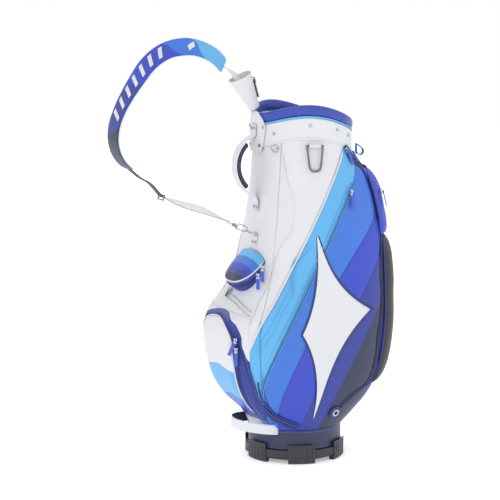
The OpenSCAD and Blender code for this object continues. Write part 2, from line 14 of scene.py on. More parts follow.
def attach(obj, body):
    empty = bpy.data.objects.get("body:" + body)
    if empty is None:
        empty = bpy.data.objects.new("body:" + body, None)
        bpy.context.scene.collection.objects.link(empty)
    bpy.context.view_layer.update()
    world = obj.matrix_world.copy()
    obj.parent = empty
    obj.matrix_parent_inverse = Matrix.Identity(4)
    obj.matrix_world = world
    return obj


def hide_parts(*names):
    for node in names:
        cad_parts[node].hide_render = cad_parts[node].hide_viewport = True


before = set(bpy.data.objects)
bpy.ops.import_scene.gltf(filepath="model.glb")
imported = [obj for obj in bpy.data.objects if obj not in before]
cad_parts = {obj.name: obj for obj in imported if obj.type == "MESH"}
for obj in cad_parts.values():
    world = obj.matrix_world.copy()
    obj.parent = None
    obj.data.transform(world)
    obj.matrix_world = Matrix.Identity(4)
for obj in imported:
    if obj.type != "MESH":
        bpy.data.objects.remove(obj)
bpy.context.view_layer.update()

scene = bpy.context.scene

# %% [markdown]
# The bag stands on a pale floor under soft lights. Large area lights give leather long,
# gentle highlights, and a small light would make it look like hard plastic.

# %% Camera, floor and lights
scene.view_settings.view_transform = "Standard"

camera = bpy.data.objects.new("camera", bpy.data.cameras.new("camera"))
scene.collection.objects.link(camera)
camera.data.lens = 136.14
camera.data.sensor_width = 36
camera.location = (-2.1480, -4.4041, 1.2734)
aim = Vector((-0.10573, 0.05157, 0.54334))
camera.rotation_euler = (aim - camera.location).to_track_quat("-Z", "Y").to_euler()
scene.camera = camera

world = bpy.data.worlds.new("studio")
scene.world = world
world.use_nodes = True
world.node_tree.nodes["Background"].inputs["Color"].default_value = (1.0, 1.0, 1.0, 1)
world.node_tree.nodes["Background"].inputs["Strength"].default_value = 1.0


def softbox(name, place, size, watts, target=(0, 0, 0.5)):
    """Adds a large area light that faces a target."""
    data = bpy.data.lights.new(name, "AREA")
    data.shape = "RECTANGLE"
    data.size, data.size_y = size
    data.energy = watts
    lamp = bpy.data.objects.new(name, data)
    lamp.location = place
    lamp.rotation_euler = (Vector(target) - lamp.location).to_track_quat("-Z", "Y").to_euler()
    scene.collection.objects.link(lamp)


softbox("key", (-2.6, -2.6, 2.6), (1.6, 2.2), 26)
softbox("side", (2.4, -2.2, 1.6), (1.0, 2.2), 8)
softbox("back", (0.6, 3.2, 2.6), (2.4, 1.6), 12)

bm = bmesh.new()
bmesh.ops.create_grid(bm, x_segments=2, y_segments=2, size=9)
floor_mesh = bpy.data.meshes.new("floor")
bm.to_mesh(floor_mesh)
bm.free()
floor = bpy.data.objects.new("floor", floor_mesh)
scene.collection.objects.link(floor)
print("camera, floor and three lights are in place")

# %% [markdown]
# Every finish shares a few effects: the pebbled grain of leather, a woven cloth, and a row
# of stitches. Each is a node group, made once, so that each material only sets its values.

# %% Shared shader groups
def group(name, inputs, outputs):
    """Starts a shader node group with named sockets."""
    tree = bpy.data.node_groups.new(name, "ShaderNodeTree")
    for label, kind in inputs:
        tree.interface.new_socket(label, in_out="INPUT", socket_type="NodeSocket" + kind)
    for label, kind in outputs:
        tree.interface.new_socket(label, in_out="OUTPUT", socket_type="NodeSocket" + kind)
    return tree, tree.nodes.new("NodeGroupInput"), tree.nodes.new("NodeGroupOutput")


def sum_node(tree, operation, a, b=None, c=None):
    """A Math node. Its inputs are numbers or sockets."""
    node = tree.nodes.new("ShaderNodeMath")
    node.operation = operation
    for index, value in enumerate((a, b, c)):
        if value is None:
            continue
        if isinstance(value, (int, float)):
            node.inputs[index].default_value = value
        else:
            tree.links.new(value, node.inputs[index])
    return node.outputs[0]


def leather_grain():
    """Pebbled grain with a slow change of tone over the hide."""
    tree, given, out = group("leather_grain", [("Vector", "Vector"), ("Scale", "Float")],
                             [("Height", "Float"), ("Tone", "Float")])
    cells = tree.nodes.new("ShaderNodeTexVoronoi")
    cells.feature = "SMOOTH_F1"
    cells.inputs["Smoothness"].default_value = 0.4
    creases = tree.nodes.new("ShaderNodeTexNoise")
    creases.inputs["Detail"].default_value = 3
    slow = tree.nodes.new("ShaderNodeTexNoise")
    slow.inputs["Scale"].default_value = 9
    for node in (cells, creases, slow):
        tree.links.new(given.outputs["Vector"], node.inputs["Vector"])
    tree.links.new(given.outputs["Scale"], cells.inputs["Scale"])
    tree.links.new(sum_node(tree, "MULTIPLY", given.outputs["Scale"], 0.3), creases.inputs["Scale"])
    fine = sum_node(tree, "MULTIPLY", cells.outputs["Distance"], 0.8)
    tree.links.new(sum_node(tree, "MULTIPLY_ADD", creases.outputs["Fac"], 0.6, fine),
                   out.inputs["Height"])
    tree.links.new(slow.outputs["Fac"], out.inputs["Tone"])
    return tree


def cloth_weave():
    """Over and under threads on a map measured in metres."""
    tree, given, out = group("cloth_weave", [("Vector", "Vector"), ("Threads", "Float")],
                             [("Height", "Float")])
    parts = tree.nodes.new("ShaderNodeSeparateXYZ")
    tree.links.new(given.outputs["Vector"], parts.inputs[0])
    waves = []
    for axis, turn in (("X", 0.0), ("Y", 1.2)):
        steps = sum_node(tree, "MULTIPLY", parts.outputs[axis], given.outputs["Threads"])
        waves.append(sum_node(tree, "SINE", sum_node(tree, "ADD", steps, turn)))
    both = sum_node(tree, "MULTIPLY", waves[0], waves[1])
    tree.links.new(sum_node(tree, "MULTIPLY_ADD", both, 0.5, 0.5), out.inputs["Height"])
    return tree


def stitch_row():
    """A mask of short threads in a row at a set distance across a map in metres."""
    tree, given, out = group(
        "stitch_row",
        [("Along", "Float"), ("Across", "Float"), ("Row", "Float"), ("Pitch", "Float")],
        [("Mask", "Float")])
    offset = sum_node(tree, "SUBTRACT", given.outputs["Across"], given.outputs["Row"])
    near = sum_node(tree, "LESS_THAN", sum_node(tree, "ABSOLUTE", offset), 0.0009)
    beat = sum_node(tree, "FRACT", sum_node(tree, "DIVIDE", given.outputs["Along"],
                                            given.outputs["Pitch"]))
    tree.links.new(sum_node(tree, "MULTIPLY", near, sum_node(tree, "LESS_THAN", beat, 0.62)),
                   out.inputs["Mask"])
    return tree


GRAIN, WEAVE, STITCH = leather_grain(), cloth_weave(), stitch_row()
print("shader groups:", GRAIN.name, WEAVE.name, STITCH.name)

# %% [markdown]
# Colours are given as they look on a screen and turned into the linear values that a
# shader works with. Synthetic leather is a dielectric with a soft sheen, so its roughness
# sits near a half, and its grain is a very shallow bump.

# %% Finishes
def rgb(red, green, blue):
    """A screen colour from 0 to 255 as a linear RGBA value."""
    return tuple(((c / 255 + 0.055) / 1.055) ** 2.4 if c > 10 else c / 3295
                 for c in (red, green, blue)) + (1.0,)


WHITE = rgb(206, 207, 212)
CYAN = rgb(84, 164, 216)
MID = rgb(46, 106, 200)
ROYAL = rgb(38, 62, 180)
DEEP = rgb(34, 52, 142)
NAVY = rgb(36, 42, 74)
BLACK = rgb(34, 35, 44)


def start_material(name):
    """An empty node material with its shader and output."""
    finish = bpy.data.materials.new(name)
    finish.use_nodes = True
    tree = finish.node_tree
    tree.nodes.clear()
    shader = tree.nodes.new("ShaderNodeBsdfPrincipled")
    out = tree.nodes.new("ShaderNodeOutputMaterial")
    tree.links.new(shader.outputs[0], out.inputs["Surface"])
    return finish, tree, shader


def use_group(tree, shared, **values):
    """Places a shared group in a material. Values are numbers or sockets."""
    node = tree.nodes.new("ShaderNodeGroup")
    node.node_tree = shared
    for label, value in values.items():
        if isinstance(value, (int, float)):
            node.inputs[label].default_value = value
        else:
            tree.links.new(value, node.inputs[label])
    return node


def mix_colour(tree, factor, a, b, blend="MIX"):
    """A Mix node on colours. Any input is a value or a socket."""
    node = tree.nodes.new("ShaderNodeMix")
    node.data_type = "RGBA"
    node.blend_type = blend
    for index, value in ((0, factor), (6, a), (7, b)):
        if isinstance(value, (int, float, tuple)):
            node.inputs[index].default_value = value
        else:
            tree.links.new(value, node.inputs[index])
    return node.outputs[2]


def bump_from(tree, shader, height, depth, strength=1.0):
    """Turns a height into the shader's normal."""
    bump = tree.nodes.new("ShaderNodeBump")
    bump.inputs["Distance"].default_value = depth
    bump.inputs["Strength"].default_value = strength
    tree.links.new(height, bump.inputs["Height"])
    tree.links.new(bump.outputs[0], shader.inputs["Normal"])


def steps_ramp(tree, factor, stops):
    """A colour ramp with hard steps, from (position, colour) pairs."""
    ramp = tree.nodes.new("ShaderNodeValToRGB")
    ramp.color_ramp.interpolation = "CONSTANT"
    bands = ramp.color_ramp.elements
    while len(bands) < len(stops):
        bands.new(1.0)
    for band, (position, colour) in zip(bands, stops):
        band.position = position
        band.color = colour
    tree.links.new(factor, ramp.inputs[0])
    return ramp.outputs[0]


def leather(name, colour, rough=0.46, grain=900, depth=0.00035, rows=(), thread=None, bands=None,
            grooves=False):
    """Grained synthetic leather. rows are stitch lines across the map, bands are stripes."""
    finish, tree, shader = start_material(name)
    coords = tree.nodes.new("ShaderNodeTexCoord")
    hide = use_group(tree, GRAIN, Vector=coords.outputs["Object"], Scale=float(grain))
    base = colour
    height = hide.outputs["Height"]
    if bands:
        read = tree.nodes.new("ShaderNodeAttribute")
        read.attribute_name = "stripe"
        base = steps_ramp(tree, sum_node(tree, "DIVIDE", read.outputs["Fac"], 8.0), bands)
        if grooves:
            apart = sum_node(tree, "PINGPONG", read.outputs["Fac"], 0.5)
            seam = sum_node(tree, "LESS_THAN", apart, 0.035)
            height = sum_node(tree, "MULTIPLY_ADD", seam, -2.5, height)
    tone = sum_node(tree, "MULTIPLY_ADD", hide.outputs["Tone"], 0.16, 0.42)
    base = mix_colour(tree, 0.55, base, tone, "OVERLAY")
    if rows:
        flat = tree.nodes.new("ShaderNodeUVMap")
        flat.uv_map = "map"
        parts = tree.nodes.new("ShaderNodeSeparateXYZ")
        tree.links.new(flat.outputs[0], parts.inputs[0])
        for row in rows:
            line = use_group(tree, STITCH, Along=parts.outputs["X"], Across=parts.outputs["Y"],
                             Row=row, Pitch=0.0048).outputs["Mask"]
            base = mix_colour(tree, line, base, thread or colour)
            height = sum_node(tree, "MULTIPLY_ADD", line, 3.0, height)
    tree.links.new(base, shader.inputs["Base Color"])
    gloss = sum_node(tree, "MULTIPLY_ADD", hide.outputs["Tone"], 0.16, rough - 0.08)
    tree.links.new(gloss, shader.inputs["Roughness"])
    shader.inputs["Coat Weight"].default_value = 0.12
    shader.inputs["Coat Roughness"].default_value = 0.35
    bump_from(tree, shader, height, depth)
    return finish


def webbing(name, colour):
    """Woven strap."""
    finish, tree, shader = start_material(name)
    flat = tree.nodes.new("ShaderNodeUVMap")
    flat.uv_map = "map"
    weave = use_group(tree, WEAVE, Vector=flat.outputs[0], Threads=4200.0)
    shade = sum_node(tree, "MULTIPLY_ADD", weave.outputs["Height"], 0.2, 0.4)
    tree.links.new(mix_colour(tree, 0.6, colour, shade, "OVERLAY"), shader.inputs["Base Color"])
    shader.inputs["Roughness"].default_value = 0.8
    shader.inputs["Sheen Weight"].default_value = 0.25
    bump_from(tree, shader, weave.outputs["Height"], 0.0004)
    return finish


def metal(name, colour, rough, brushed=True):
    """Plated metal with fine scratches along the piece."""
    finish, tree, shader = start_material(name)
    coords = tree.nodes.new("ShaderNodeTexCoord")
    stretch = tree.nodes.new("ShaderNodeMapping")
    stretch.inputs["Scale"].default_value = (1, 1, 0.08) if brushed else (1, 1, 1)
    tree.links.new(coords.outputs["Object"], stretch.inputs[0])
    marks = tree.nodes.new("ShaderNodeTexNoise")
    marks.inputs["Scale"].default_value = 900
    marks.inputs["Detail"].default_value = 4
    tree.links.new(stretch.outputs[0], marks.inputs["Vector"])
    tree.links.new(sum_node(tree, "MULTIPLY_ADD", marks.outputs["Fac"], 0.2, rough - 0.1),
                   shader.inputs["Roughness"])
    tree.links.new(mix_colour(tree, 0.3, colour, marks.outputs["Fac"], "OVERLAY"),
                   shader.inputs["Base Color"])
    shader.inputs["Metallic"].default_value = 1.0
    bump_from(tree, shader, marks.outputs["Fac"], 0.00006)
    return finish


def moulded(name, colour, rough=0.5, dots=1400, depth=0.0002):
    """Moulded plastic or rubber with a fine spark-eroded texture."""
    finish, tree, shader = start_material(name)
    coords = tree.nodes.new("ShaderNodeTexCoord")
    skin_marks = use_group(tree, GRAIN, Vector=coords.outputs["Object"], Scale=float(dots))
    tone = sum_node(tree, "MULTIPLY_ADD", skin_marks.outputs["Tone"], 0.2, 0.4)
    tree.links.new(mix_colour(tree, 0.5, colour, tone, "OVERLAY"), shader.inputs["Base Color"])
    tree.links.new(sum_node(tree, "MULTIPLY_ADD", skin_marks.outputs["Tone"], 0.2, rough - 0.1),
                   shader.inputs["Roughness"])
    bump_from(tree, shader, skin_marks.outputs["Height"], depth)
    return finish


def zip_tape(name, tape, teeth, half=0.0015):
    """Zip tape with two rows of interlocked teeth along the middle of the map."""
    finish, tree, shader = start_material(name)
    flat = tree.nodes.new("ShaderNodeUVMap")
    flat.uv_map = "map"
    parts = tree.nodes.new("ShaderNodeSeparateXYZ")
    tree.links.new(flat.outputs[0], parts.inputs[0])
    weave = use_group(tree, WEAVE, Vector=flat.outputs[0], Threads=6500.0)
    side = sum_node(tree, "ABSOLUTE", parts.outputs["Y"])
    chain = sum_node(tree, "LESS_THAN", side, half * 1.25)
    lean_teeth = sum_node(tree, "MULTIPLY_ADD", side, 0.35, parts.outputs["X"])
    tooth = sum_node(tree, "PINGPONG", lean_teeth, 0.0009)
    raised = sum_node(tree, "MULTIPLY", chain, sum_node(tree, "MULTIPLY", tooth, 1100.0))
    shade = mix_colour(tree, chain, tape, teeth)
    tree.links.new(shade, shader.inputs["Base Color"])
    shader.inputs["Roughness"].default_value = 0.55
    height = sum_node(tree, "MULTIPLY_ADD", raised, 4.0, weave.outputs["Height"])
    bump_from(tree, shader, height, 0.0003)
    return finish


SIDE_BANDS = [(i / 8, tone) for i, tone in enumerate((WHITE, CYAN, MID, ROYAL, DEEP, NAVY))]
FINISH = {
    "floor": moulded("pale_floor", rgb(250, 250, 250), 0.8, 60, 0.0001),
    "white": leather("white_leather", WHITE),
    "white_sewn": leather("white_leather_sewn", WHITE, rows=(0.006,), thread=rgb(196, 200, 208)),
    "side": leather("striped_leather", WHITE, bands=SIDE_BANDS, grooves=True),
    "royal": leather("royal_leather", ROYAL),
    "deep": leather("deep_leather", DEEP, rows=(0.004,), thread=MID),
    "navy": leather("navy_leather", NAVY, rows=(0.004, 0.047), thread=rgb(88, 96, 140)),
    "black": leather("black_leather", BLACK, 0.5),
    "gusset": leather("gusset_leather", WHITE, bands=[(0.0, WHITE), (1 / 8, DEEP)]),
    "cyan": leather("cyan_leather", CYAN),
    "rim": leather("rim_leather", rgb(40, 62, 158), 0.42),
    "inside": webbing("tube_cloth", rgb(30, 38, 66)),
    "white_web": webbing("white_webbing", rgb(226, 228, 232)),
    "navy_web": webbing("navy_webbing", rgb(30, 38, 66)),
    "cyan_web": webbing("cyan_webbing", CYAN),
    "steel": metal("plated_steel", rgb(186, 189, 196), 0.28),
    "dark_steel": metal("dark_steel", rgb(118, 121, 128), 0.32),
    "plastic": moulded("black_plastic", rgb(44, 45, 50), 0.5),
    "tube": moulded("tube_plastic", rgb(34, 42, 70), 0.5),
    "sheet": moulded("divider_plastic", rgb(40, 44, 58), 0.6),
    "pull": moulded("pull_rubber", rgb(58, 84, 190), 0.45, 2600),
    "dark_pull": moulded("dark_pull_rubber", rgb(62, 64, 74), 0.45, 2600),
    "zip_royal": zip_tape("royal_zip", rgb(40, 60, 140), rgb(28, 40, 96)),
    "zip_cyan": zip_tape("cyan_zip", rgb(70, 136, 196), rgb(34, 52, 96), 0.0008),
    "zip_navy": zip_tape("navy_zip", rgb(34, 40, 78), rgb(20, 24, 52)),
    "zip_white": zip_tape("white_zip", rgb(214, 216, 222), rgb(150, 154, 164)),
    "outline": leather("navy_edging", rgb(30, 44, 110)),
}
pale = FINISH["floor"].node_tree.nodes["Principled BSDF"]
pale.inputs["Emission Color"].default_value = (1, 1, 1, 1)
pale.inputs["Emission Strength"].default_value = 0.35
floor.data.materials.append(FINISH["floor"])
print(len(FINISH), "finishes")

# %% [markdown]
# The bag's outline is a stack of rounded ovals. Four short tables say how far its front,
# sides and rear stand out at each height and how square each oval is, and a smooth curve
# through them gives a point anywhere on the skin.

# %% The outline of the bag
LEAN = tan(radians(1.2))
RIM_H, COLLAR_H = 0.911, 0.088


def smooth_table(rows):
    """A smooth curve through (height in mm, value) rows, as a function of metres."""
    xs = [row[0] / 1000 for row in rows]
    ys = [row[1] for row in rows]
    slopes = []
    for i in range(len(xs)):
        a, b = max(i - 1, 0), min(i + 1, len(xs) - 1)
        slopes.append((ys[b] - ys[a]) / (xs[b] - xs[a]))

    def value(x):
        x = min(max(x, xs[0]), xs[-1])
        i = min(int(np.searchsorted(xs, x, side="right")) - 1, len(xs) - 2)
        h = xs[i + 1] - xs[i]
        s = (x - xs[i]) / h
        return ((2 * s**3 - 3 * s**2 + 1) * ys[i] + (s**3 - 2 * s**2 + s) * h * slopes[i]
                + (3 * s**2 - 2 * s**3) * ys[i + 1] + (s**3 - s**2) * h * slopes[i + 1])
    return value


front_reach = smooth_table([
    (89, 124), (130, 140), (170, 166), (220, 192), (280, 211), (350, 220), (390, 216), (431, 183),
    (470, 160), (520, 140), (560, 130), (600, 124), (728, 124), (806, 126), (850, 127)])
side_reach = smooth_table([
    (89, 124), (130, 139), (170, 151), (220, 160), (280, 165), (350, 167), (430, 167), (520, 165),
    (600, 160), (680, 151), (740, 142), (800, 133), (850, 128)])
rear_reach = smooth_table([
    (89, 124), (130, 156), (170, 182), (220, 203), (280, 212), (350, 215), (430, 214), (520, 211),
    (600, 204), (680, 191), (710, 187), (740, 177), (770, 157), (800, 137), (850, 128)])
front_square = smooth_table([
    (89, 2), (130, 2.6), (170, 3.2), (220, 3.8), (280, 4), (390, 4), (431, 3.5), (580, 3.5),
    (640, 2.8), (728, 2.3), (806, 2), (850, 2)])
rear_square = smooth_table([
    (89, 2), (130, 2.4), (170, 2.9), (220, 3.4), (350, 4), (430, 4), (520, 3.9), (600, 3.6),
    (680, 3.1), (740, 2.6), (800, 2.2), (850, 2)])


def oval(t, a, b, n):
    """Radius of a rounded oval at angle t in degrees."""
    c, s = abs(cos(radians(t))), abs(sin(radians(t)))
    return ((c / a) ** n + (s / b) ** n) ** (-1 / n)


level_memo = {}


def level(z):
    """The two half ovals of the skin at a height."""
    key = round(z, 5)
    if key not in level_memo:
        level_memo[key] = (front_reach(z) / 1000, side_reach(z) / 1000, rear_reach(z) / 1000,
                           front_square(z), rear_square(z))
    return level_memo[key]


def skin(t, z):
    """Radius of the bag's skin. Angle 0 is the front and 90 the near side."""
    front, side, rear, front_n, rear_n = level(z)
    return oval(t, front, side, front_n) if cos(radians(t)) > 0 else oval(t, rear, side, rear_n)


def polar(r, t, z):
    """A point at radius r, angle t and height z round the leaning axis."""
    return Vector((LEAN * z - r * cos(radians(t)), -r * sin(radians(t)), z))


def rim_top(t):
    """Height of the rim's top edge."""
    a = radians(t)
    return RIM_H + 0.016 * cos(a) - 0.016 * cos(2 * a) - 0.003 * cos(3 * a)


def on_skin(t, z, lift=0.0, radius=skin):
    """A point on the skin, lifted along the skin's normal."""
    point = polar(radius(t, z), t, z)
    if not lift:
        return point
    return point + skin_normal(t, z, radius) * lift


def skin_normal(t, z, radius=skin):
    """Direction straight out of the skin."""
    right = polar(radius(t + 0.6, z), t + 0.6, z) - polar(radius(t - 0.6, z), t - 0.6, z)
    climb = polar(radius(t, z + 0.003), t, z + 0.003) - polar(radius(t, z - 0.003), t, z - 0.003)
    return right.cross(climb).normalized()


print("skin at mid height:", [round(skin(t, 0.4), 3) for t in (0, 45, 90, 135, 180)])

# %% [markdown]
# Most pieces start as a flat grid from bmesh. Each corner of the grid knows how far along
# and across the piece it is, so it is moved to its place and keeps a map in metres for
# stitches and weave.

# %% Helpers that make a piece
def settle(bm, name, finish, body, nodes=(), smooth=True, thick=0.0):
    """Turns a bmesh into a finished piece of the bag."""
    mesh = bpy.data.meshes.new(name)
    bm.to_mesh(mesh)
    bm.free()
    for face in mesh.polygons:
        face.use_smooth = smooth
    piece = bpy.data.objects.new(name, mesh)
    scene.collection.objects.link(piece)
    mesh.materials.append(FINISH[finish])
    if thick:
        shell = piece.modifiers.new("thickness", "SOLIDIFY")
        shell.thickness = thick
        shell.offset = -1
    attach(piece, body)
    if nodes:
        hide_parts(*nodes)
    return piece


def loft(nu, nv, place, size=(1.0, 1.0), mark=None, wrap=False, toward=None):
    """A grid whose corners are placed by place(u, v). size maps it in metres."""
    bm = bmesh.new()
    bmesh.ops.create_grid(bm, x_segments=nu, y_segments=nv, size=0.5)
    flat = bm.loops.layers.uv.new("map")
    stripe = bm.verts.layers.float.new("stripe") if mark else None
    for face in bm.faces:
        for loop in face.loops:
            co = loop.vert.co
            loop[flat].uv = ((co.x + 0.5) * size[0], (co.y + 0.5) * size[1])
    for vert in bm.verts:
        u, v = vert.co.x + 0.5, vert.co.y + 0.5
        if mark:
            vert[stripe] = mark(u, v)
        vert.co = place(u, v)
    if wrap:
        bmesh.ops.remove_doubles(bm, verts=bm.verts, dist=1e-6)
    bm.normal_update()
    if toward:
        bm.faces.ensure_lookup_table()
        middle = bm.faces[len(bm.faces) // 2]
        if middle.normal.dot(toward(middle.calc_center_median())) < 0:
            bmesh.ops.reverse_faces(bm, faces=bm.faces)
    return bm


def route(points, closed=False):
    """A smooth path through points, as a function of 0 to 1."""
    pts = [Vector(p) for p in points]
    if closed:
        pts = [pts[-1]] + pts + [pts[0], pts[1]]
    else:
        pts = [pts[0] * 2 - pts[1]] + pts + [pts[-1] * 2 - pts[-2]]
    count = len(pts) - 3
    lengths = [(pts[i + 2] - pts[i + 1]).length for i in range(count)]
    ends = np.cumsum([0.0] + lengths)

    def at(s):
        d = min(max(s, 0.0), 1.0) * ends[-1]
        i = min(int(np.searchsorted(ends, d, side="right")) - 1, count - 1)
        k = (d - ends[i]) / max(lengths[i], 1e-9)
        p0, p1, p2, p3 = pts[i:i + 4]
        return 0.5 * (2 * p1 + (p2 - p0) * k + (2 * p0 - 5 * p1 + 4 * p2 - p3) * k**2
                      + (3 * p1 - p0 - 3 * p2 + p3) * k**3)
    at.length = float(ends[-1])
    return at


SKIN_ARC = 0.0026  # metres to a degree of turn, about right at mid height


def skin_route(points, lift, radius=skin, side=1):
    """A path over the skin through (angle, height in mm) points."""
    flat = route([(t * SKIN_ARC, z / 1000, 0) for t, z in points])

    def at(s):
        spot = flat(s)
        return on_skin(side * spot.x / SKIN_ARC, spot.y, lift, radius)

    def out(s):
        spot = flat(s)
        return skin_normal(side * spot.x / SKIN_ARC, spot.y, radius)
    return at, out


def path_length(at, steps=60):
    """Length of a path in metres."""
    return sum((at((i + 1) / steps) - at(i / steps)).length for i in range(steps))


def tangent(at, s):
    """Direction of a path."""
    return (at(min(s + 0.004, 1.0)) - at(max(s - 0.004, 0.0))).normalized()


def centre_map(bm, width):
    """Moves the map of a ribbon so that zero runs along its middle."""
    flat = bm.loops.layers.uv["map"]
    for face in bm.faces:
        for loop in face.loops:
            loop[flat].uv.y -= width / 2


def close_ends(bm):
    """Fills the open ends of a tube and turns its faces outward."""
    bmesh.ops.holes_fill(bm, edges=[e for e in bm.edges if e.is_boundary], sides=0)
    bmesh.ops.recalc_face_normals(bm, faces=bm.faces)
    return bm


def squared(value, power):
    """A sine or cosine raised to a power with its sign kept, for a squarer round."""
    return abs(value) ** power * (1 if value > 0 else -1)


def ribbon(at, out, width, crown=0.0, steps=120, across=6):
    """A flat band along a path, facing out, and crowned along its middle."""
    def place(u, v):
        facing = out(u).normalized()
        side = facing.cross(tangent(at, u)).normalized()
        offset = (v - 0.5) * width
        return at(u) + side * offset + facing * crown * (1 - (2 * v - 1) ** 2)
    length = path_length(at)
    bm = loft(steps, across, place, (length, width))
    bm.faces.ensure_lookup_table()
    face = bm.faces[0]
    if face.normal.dot(out(0.02)) < 0:
        bmesh.ops.reverse_faces(bm, faces=bm.faces)
    return bm


def bead(at, out, radius, steps=120, sides=8):
    """A round cord along a path, closed at its ends."""
    def place(u, v):
        facing = out(u).normalized()
        side = facing.cross(tangent(at, u)).normalized()
        a = 2 * pi * v
        taper = min(1.0, 40 * u + 0.02, 40 * (1 - u) + 0.02)
        return at(u) + (side * cos(a) + facing * sin(a)) * radius * taper
    bm = loft(steps, sides, place, (path_length(at), 2 * pi * radius), wrap=True)
    return close_ends(bm)


def join(parts):
    """Puts several bmeshes into one."""
    whole = parts[0]
    for part in parts[1:]:
        spare = bpy.data.meshes.new("spare")
        part.to_mesh(spare)
        part.free()
        whole.from_mesh(spare)
        bpy.data.meshes.remove(spare)
    return whole


def ripple(point, size, amount):
    """A gentle, repeatable unevenness for soft pieces."""
    return noise.noise(point / size) * amount


print("piece helpers ready")

# %% [markdown]
# The stripes are sewn diagonally across each side, from high at the rear to low at the
# front. A few points along each seam give its line, and each corner of the skin stores how
# many seams lie in front of it, so the leather can change colour exactly on the seams.

# %% Where the stripes run
def seam_line(points, degree):
    """Angle of a sewn seam at a height in mm."""
    fit = np.polyfit([z for t, z in points], [t for t, z in points], degree)
    return lambda z: float(np.polyval(fit, z))


ZIP_LINE = [(116.4, 706), (104, 647), (93, 590), (83, 535), (74, 481), (62, 399), (52, 317),
            (43, 238), (38, 203)]
EDGE_LINE = [(106, 768), (74, 617), (49, 459), (40, 354), (29, 272)]
SEAMS = [
    seam_line(EDGE_LINE, 2), seam_line(ZIP_LINE, 2),
    seam_line([(150, 677), (118, 577), (84, 381), (47, 138)], 2),
    seam_line([(140, 554), (104, 330), (74, 123)], 1),
    seam_line([(138, 419), (118, 286), (104, 168)], 1)]


def stripe_at(t, z):
    """Number of seams in front of a point on the side, with the fraction to the next."""
    t, height = abs(t), z * 1000
    lines, last = [], -200.0
    for seam in SEAMS:
        last = max(seam(height), last + 4)
        lines.append(last)
    lines = [lines[0] - 60] + lines + [lines[-1] + 60]
    return float(np.interp(t, lines, range(len(lines))))


def pucker(t, z, width=0.007, depth=0.0016):
    """How far the sewn seams pull the leather in."""
    pull = 0.0
    reach = skin(t, z) * radians(1)
    for seam in SEAMS[:4]:
        apart = abs(abs(t) - seam(z * 1000)) * reach * 0.75
        pull += depth * max(0.0, 1 - apart / width) ** 2
    return pull


print("seams at 400 mm:", [round(seam(400)) for seam in SEAMS])

# %% [markdown]
# Four panels make the skin: a white front, a striped side on each hand, and a royal rear.
# Each is lofted between two seams, and the leather swells a little between the seams, as
# filled pockets do.

# %% The sewn panels
def lower_edge(v, t):
    """Height up a panel, from the base band to the collar's seam."""
    top = rim_top(t) - COLLAR_H + 0.002
    return 0.0885 + (top - 0.0885) * v


def panel(name, t0, t1, columns, rows, finish, slot_name, *nodes, striped=False):
    """One sewn panel of the skin."""
    def place(u, v):
        t = t0 + (t1 - t0) * u
        z = lower_edge(v, t)
        point = on_skin(t, z)
        edge = min(u, 1 - u) * abs(t1 - t0) * radians(1) * 0.16
        roll = -0.002 * max(0.0, 1 - edge / 0.006) ** 2
        swell = ripple(point, 0.11, 0.0018) + ripple(point, 0.035, 0.0004)
        pulled = pucker(t, z) if striped else 0.0
        return point + skin_normal(t, z) * (roll + swell - pulled)

    mark = (lambda u, v: stripe_at(t0 + (t1 - t0) * u, lower_edge(v, t0 + (t1 - t0) * u))
            ) if striped else None
    bm = loft(columns, rows, place, (abs(t1 - t0) * 0.0026, 0.74), mark)
    return settle(bm, name, finish, "bag", nodes, thick=0.0022)


panel("skin_front", -40, 40, 70, 200, "side", "white_leather", "front_panel", striped=True)
panel("skin_side_near", 40, 140, 130, 250, "side", "blue_leather", "garment_pocket_near",
      striped=True)
panel("skin_side_far", -140, -40, 130, 250, "side", "blue_leather", "garment_pocket_far",
      striped=True)
panel("skin_rear", 140, 220, 60, 120, "royal", "royal_leather", "rear_panel")
print("four panels")

# %% [markdown]
# Piping covers the joins and zips follow them. A piping is a cord in folded leather, so it
# is a thin round bead half sunk in the skin; a zip is a flat tape with teeth down its middle.

# %% Piping, zips and raised lines on the sides
STRIP_LINE = [(25, 328), (31, 365), (34, 400), (34, 432), (37, 463), (40, 504), (43, 542),
              (48, 580), (57, 616), (59, 677), (54, 717), (49, 749), (41, 817)]
GARMENT_ZIP = [(121, 823), (130, 786), (145, 757), (149, 732), (148, 670), (144, 602), (139, 510),
               (140, 447), (140, 397), (138, 335), (138, 255), (134, 201), (122, 176), (113, 146)]
BAND_LINE = [(4, 394), (12, 381), (19, 365), (25, 328), (29, 285), (32, 224), (32, 177), (36, 147),
             (43, 124), (65, 97)]


